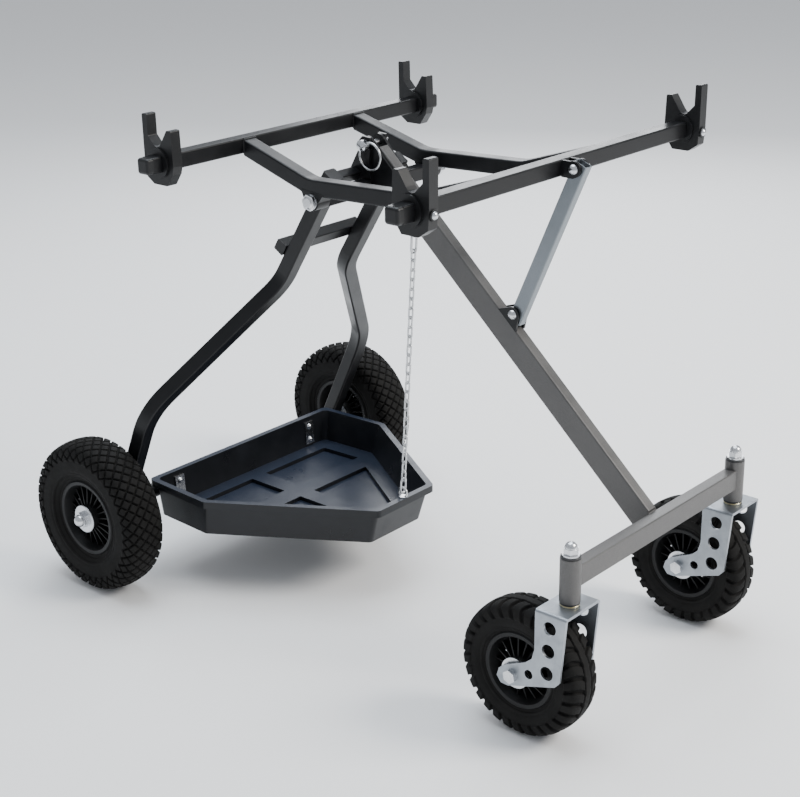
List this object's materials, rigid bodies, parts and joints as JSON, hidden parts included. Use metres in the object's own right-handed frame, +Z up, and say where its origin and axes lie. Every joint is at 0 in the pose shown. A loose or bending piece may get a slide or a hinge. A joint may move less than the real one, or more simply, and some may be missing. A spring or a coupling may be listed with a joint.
{
  "type": "kart trolley",
  "caption": "Folding kart trolley: top frame with forked cradles on X-legs, two rear wheels, two swivel casters, a hanging tool tray, a chain and a lock pin.",
  "frame": {"origin": "on the ground at the middle of the outline", "axes": "+X across the trolley, +Y towards the fixed rear wheels, +Z up; the swivel casters are at -Y"},
  "size_m": [0.7225, 1.0558, 0.8305],
  "materials": {
    "frame_black": "satin black powder coat",
    "leg_grey": "metallic grey powder coat",
    "zinc": "bright zinc plate",
    "black_plastic": "moulded black plastic",
    "tray_plastic": "semi-gloss black plastic",
    "tyre_rubber": "matt black rubber",
    "bush_plastic": "black nylon"
  },
  "bodies": {
    "frame": {"rear_bar": "frame_black", "front_bar": "frame_black", "bar_end_caps": "black_plastic", "side_rails": "frame_black", "pivot_lugs": "frame_black", "pivot_bolt": "zinc", "front_leg": "leg_grey", "leg_cheeks": "frame_black", "chain_anchor": "leg_grey", "strut_tube": "leg_grey", "strut_ears": "frame_black", "strut_bolts": "zinc", "caster_bar": "leg_grey", "kingpin_sleeves": "leg_grey", "kingpin_bushes": "bush_plastic"},
    "cradle_rl": {"cradle_rear_left": "black_plastic", "cradle_screw_rear_left": "zinc"},
    "cradle_rr": {"cradle_rear_right": "black_plastic", "cradle_screw_rear_right": "zinc"},
    "cradle_fl": {"cradle_front_left": "black_plastic", "cradle_screw_front_left": "zinc"},
    "cradle_fr": {"cradle_front_right": "black_plastic", "cradle_screw_front_right": "zinc"},
    "rear_frame": {"rear_leg_left": "frame_black", "rear_leg_right": "frame_black", "pivot_tubes": "frame_black", "lock_crossbar": "frame_black", "lock_hooks": "frame_black", "middle_crossbar": "frame_black", "tube_caps": "black_plastic", "axle_tube": "frame_black", "rear_axle": "zinc", "axle_nuts": "zinc"},
    "rear_wheel_left": {"rear_tyre_left": "tyre_rubber", "rear_rim_left": "black_plastic", "rear_bearings_left": "zinc"},
    "rear_wheel_right": {"rear_tyre_right": "tyre_rubber", "rear_rim_right": "black_plastic", "rear_bearings_right": "zinc"},
    "tray": {"tray_pan": "tray_plastic", "tray_fixings": "zinc", "tray_clamps": "tray_plastic", "tray_eye": "zinc"},
    "chain": {"chain_links": "zinc", "chain_end_links": "zinc"},
    "pull_pin": {"lock_pin": "zinc"},
    "ring": {"pin_ring": "zinc"},
    "caster_left": {"fork_left": "zinc", "kingpin_left": "zinc", "caster_axle_left": "zinc"},
    "caster_right": {"fork_right": "zinc", "kingpin_right": "zinc", "caster_axle_right": "zinc"},
    "front_wheel_left": {"front_tyre_left": "tyre_rubber", "front_rim_left": "black_plastic", "front_bearings_left": "zinc"},
    "front_wheel_right": {"front_tyre_right": "tyre_rubber", "front_rim_right": "black_plastic", "front_bearings_right": "zinc"}
  },
  "joints": [
    {"name": "rear_leg_fold", "type": "hinge", "parent": "frame", "child": "rear_frame", "pos_m": [0, 0.0424, 0.683], "axis": [-1, 0, 0], "range_deg": [0, 30]},
    {"name": "tray_tip", "type": "hinge", "parent": "rear_frame", "child": "tray", "pos_m": [0, 0.3979, 0.13], "axis": [1, 0, 0], "range_deg": [0, 6]},
    {"name": "chain_swing", "type": "hinge", "parent": "frame", "child": "chain", "pos_m": [0, -0.0366, 0.62], "axis": [-1, 0, 0], "range_deg": [0, 40]},
    {"name": "lock_pin_slide", "type": "slide", "parent": "frame", "child": "pull_pin", "axis": [-1, 0, 0], "range_m": [0, 0.05]},
    {"name": "pin_ring_swing", "type": "hinge", "parent": "pull_pin", "child": "ring", "pos_m": [-0.0258, 0.0434, 0.748], "axis": [0, 0.7239, -0.6899], "range_deg": [0, 80]},
    {"name": "caster_swivel_left", "type": "hinge", "parent": "frame", "child": "caster_left", "pos_m": [-0.216, -0.4921, 0.25], "axis": [0, 0, 1], "continuous": true},
    {"name": "caster_wheel_spin_left", "type": "hinge", "parent": "caster_left", "child": "front_wheel_left", "pos_m": [-0.216, -0.4252, 0.1027], "axis": [1, 0, 0], "continuous": true},
    {"name": "rear_wheel_spin_left", "type": "hinge", "parent": "rear_frame", "child": "rear_wheel_left", "pos_m": [-0.311, 0.3979, 0.13], "axis": [1, 0, 0], "continuous": true},
    {"name": "caster_swivel_right", "type": "hinge", "parent": "frame", "child": "caster_right", "pos_m": [0.216, -0.4921, 0.25], "axis": [0, 0, 1], "continuous": true},
    {"name": "caster_wheel_spin_right", "type": "hinge", "parent": "caster_right", "child": "front_wheel_right", "pos_m": [0.216, -0.4252, 0.1027], "axis": [1, 0, 0], "continuous": true},
    {"name": "rear_wheel_spin_right", "type": "hinge", "parent": "rear_frame", "child": "rear_wheel_right", "pos_m": [0.311, 0.3979, 0.13], "axis": [1, 0, 0], "continuous": true},
    {"name": "cradle_slide_rl", "type": "slide", "parent": "frame", "child": "cradle_rl", "axis": [1, 0, 0], "range_m": [-0.016, 0.1]},
    {"name": "cradle_slide_rr", "type": "slide", "parent": "frame", "child": "cradle_rr", "axis": [1, 0, 0], "range_m": [-0.1, 0.017]},
    {"name": "cradle_slide_fl", "type": "slide", "parent": "frame", "child": "cradle_fl", "axis": [1, 0, 0], "range_m": [-0.02, 0.12]},
    {"name": "cradle_slide_fr", "type": "slide", "parent": "frame", "child": "cradle_fr", "axis": [1, 0, 0], "range_m": [-0.14, 0.012]}
  ],
  "couplings": [
    {"joint": "tray_tip", "follows": "rear_leg_fold", "ratio": 0.16},
    {"joint": "chain_swing", "follows": "rear_leg_fold", "ratio": 1.185}
  ]
}
